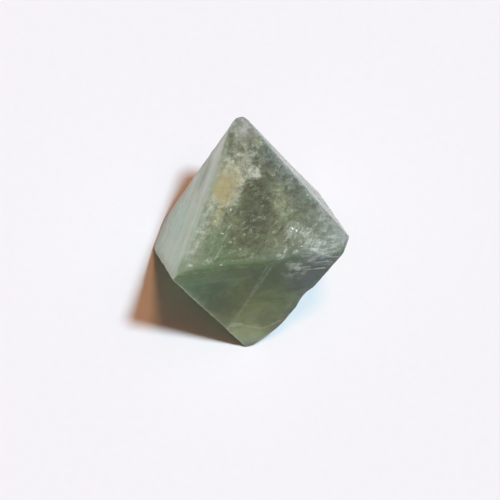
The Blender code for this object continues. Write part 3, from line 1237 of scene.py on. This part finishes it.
def crystal_material():
    material, tree, shader = plain_material("green_fluorite")
    stone = read_stone(tree)
    sparkles = all_dabs(tree, stone.place, SPARKLES)
    colour = lay_veils(tree, stone, joined_faces(tree, stone))
    colour = lay_marks(tree, stone, colour, sparkles)
    tree.links.new(colour, shader.inputs["Base Color"])
    tree.links.new(satin_gloss(tree, stone, sparkles), shader.inputs["Roughness"])
    tree.links.new(fine_relief(tree, stone, sparkles), shader.inputs["Normal"])
    shader.inputs["IOR"].default_value = FLUORITE_INDEX
    shader.inputs["Transmission Weight"].default_value = CLEAR_SHARE
    shader.inputs["Subsurface Weight"].default_value = 1.0
    shader.inputs["Subsurface Radius"].default_value = (1.0, 1.08, 0.96)
    shader.inputs["Subsurface Scale"].default_value = 8.0 * MM
    absorb = tree.nodes.new("ShaderNodeVolumeAbsorption")
    absorb.inputs["Color"].default_value = BODY_GREEN
    absorb.inputs["Density"].default_value = BODY_DENSITY
    tree.links.new(absorb.outputs["Volume"], tree.nodes["Material Output"].inputs["Volume"])
    return material


crystal_mesh.materials.clear()
crystal_mesh.materials.append(crystal_material())
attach(crystal, BODY)
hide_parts(NODE)
lit_by_wall = bpy.data.collections.new("lit_by_wall")
lit_by_wall.objects.link(crystal)
suns["pale_wall"].light_linking.receiver_collection = lit_by_wall
print("crystal material with", len(crystal_mesh.materials[0].node_tree.nodes), "nodes")

# %% [markdown]
# ## What is sealed in the crystal
# The crystal grew around drops of brine, and old cracks healed and trapped more of them. Such a
# veil is a plane of tiny flat bubbles. Each bubble is a low many-sided disc, made by the cone
# operator with its own size and turn, and hundreds of them lie on a plane that is parallel to a
# cleavage face. A noise leaves gaps between them, like the ridges of a fingerprint.

# %% Bubbles on a plane
CLEARANCE = 0.25
BATCH = 60


def inside_crystal(spot):
    gap = PLANE_NORMALS @ np.array(spot) - PLANE_REACHES
    return gap.max() < -CLEARANCE


def add_bubble(shape, spot, normal, size, flatness, dice):
    tilt = Vector([dice.uniform(-0.25, 0.25) for _ in range(3)])
    turn = (Vector(normal) + tilt).to_track_quat("Z", "Y")
    spin = Quaternion((0.0, 0.0, 1.0), dice.uniform(0.0, 6.28))
    stretch = Matrix.Diagonal((size, size * dice.uniform(0.5, 1.0), size * flatness, 1.0))
    place = Matrix.Translation(spot) @ (turn @ spin).to_matrix().to_4x4() @ stretch
    bmesh.ops.create_cone(shape, cap_ends=True, cap_tris=False, segments=dice.choice((5, 6, 7)),
                          radius1=1.0, radius2=0.6, depth=1.0, matrix=place)


def sealed_piece(name, bubbles, material):
    whole = bmesh.new()
    for start in range(0, len(bubbles), BATCH):
        batch = bmesh.new()
        for bubble in bubbles[start:start + BATCH]:
            add_bubble(batch, *bubble)
        carrier = bpy.data.meshes.new("batch")
        batch.to_mesh(carrier)
        batch.free()
        whole.from_mesh(carrier)
        bpy.data.meshes.remove(carrier)
    bmesh.ops.scale(whole, vec=(MM, MM, MM), verts=whole.verts)
    bmesh.ops.recalc_face_normals(whole, faces=whole.faces)
    mesh = bpy.data.meshes.new(name)
    whole.to_mesh(mesh)
    whole.free()
    mesh.materials.append(material)
    piece = bpy.data.objects.new(name, mesh)
    scene.collection.objects.link(piece)
    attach(piece, BODY)
    print(f"{name:22s} {len(bubbles)} bubbles, {len(mesh.polygons)} faces")
    return piece


def veil(middle, run, normal, length, width, count, sizes, seed):
    dice = random.Random(seed)
    middle, run, normal = Vector(middle), Vector(run).normalized(), Vector(normal).normalized()
    across = normal.cross(run)
    shift = Vector((seed, 2.0 * seed, 0.0))
    bubbles = []
    for _ in range(count):
        u, v = dice.uniform(-1.0, 1.0), dice.uniform(-1.0, 1.0)
        spot = middle + run * u * length / 2 + across * v * width / 2
        spot += normal * (0.35 * noise.noise(spot * 0.35 + shift) + dice.gauss(0.0, 0.05))
        ridge = abs(noise.fractal(spot * 0.9 + shift, 1.0, 2.0, 2))
        if u * u + v * v < 1.0 and ridge < 0.22 and inside_crystal(spot):
            bubbles.append((spot, normal, dice.triangular(*sizes), 0.18, dice))
    return bubbles


def drift(middle, radii, count, sizes, seed):
    dice = random.Random(seed)
    bubbles = []
    for _ in range(count):
        offset = Vector([dice.gauss(0.0, radius) for radius in radii])
        spot = Vector(middle) + offset
        normal = NORMAL[dice.choice(("top", "front", "right", "left"))]
        if inside_crystal(spot):
            bubbles.append((spot, normal, dice.triangular(*sizes), 0.10, dice))
    return bubbles


print("bubble helpers ready")

# %% [markdown]
# ## Finish of the bubbles
# A bubble wall and a healed crack look silvery, because light is thrown back where the crystal
# meets the brine. A pale satin finish with a slow change of tone stands for that. The rusty
# ones lie under the stain on the top face.

# %% Sealed pieces
BRINE_INDEX = 1.34


def silvery(name, dark, pale, roughness):
    material, tree, shader = plain_material(name)
    place = tree.nodes.new("ShaderNodeTexCoord").outputs["Object"]
    tone = ramp_between(tree, grain_noise(tree, place, 900.0, 4.0), 0.35, 0.65)
    tree.links.new(tint(tree, tone, dark, pale), shader.inputs["Base Color"])
    gloss = calc(tree, "MULTIPLY_ADD", tone, 0.15, roughness)
    tree.links.new(gloss, shader.inputs["Roughness"])
    shader.inputs["IOR"].default_value = BRINE_INDEX
    return material


silver = silvery("silvery_bubbles", (0.55, 0.62, 0.54), (0.90, 0.94, 0.90), 0.25)
rust = silvery("rusty_bubbles", (0.45, 0.30, 0.12), (0.72, 0.58, 0.32), 0.40)
sealed_piece("veil_right_tip", drift((6.8, -2.6, 15.9), (2.6, 1.5, 0.5), 420,
                                     (0.05, 0.28, 0.10), 31), silver)
sealed_piece("veil_under_top", veil((1.5, 0.5, 16.2), (0.5, 0.85, 0.0), (0.04, 0.03, 1.0),
                                    17.0, 12.0, 1400, (0.04, 0.22, 0.07), 32), silver)
sealed_piece("healed_crack_front", veil((1.6, -6.6, 10.9), (-0.33, -0.43, -0.84), NORMAL["left"],
                                        15.0, 6.5, 900, (0.05, 0.26, 0.10), 33), silver)
sealed_piece("healed_crack_foot", veil((2.8, -9.9, 4.2), (0.9, 0.4, 0.1), (0.1, -0.35, 0.93),
                                       7.0, 3.0, 300, (0.05, 0.20, 0.08), 34), silver)
sealed_piece("rust_under_stain", drift((-4.0, 2.0, 16.4), (1.0, 1.7, 0.22), 260,
                                       (0.05, 0.25, 0.10), 35), rust)
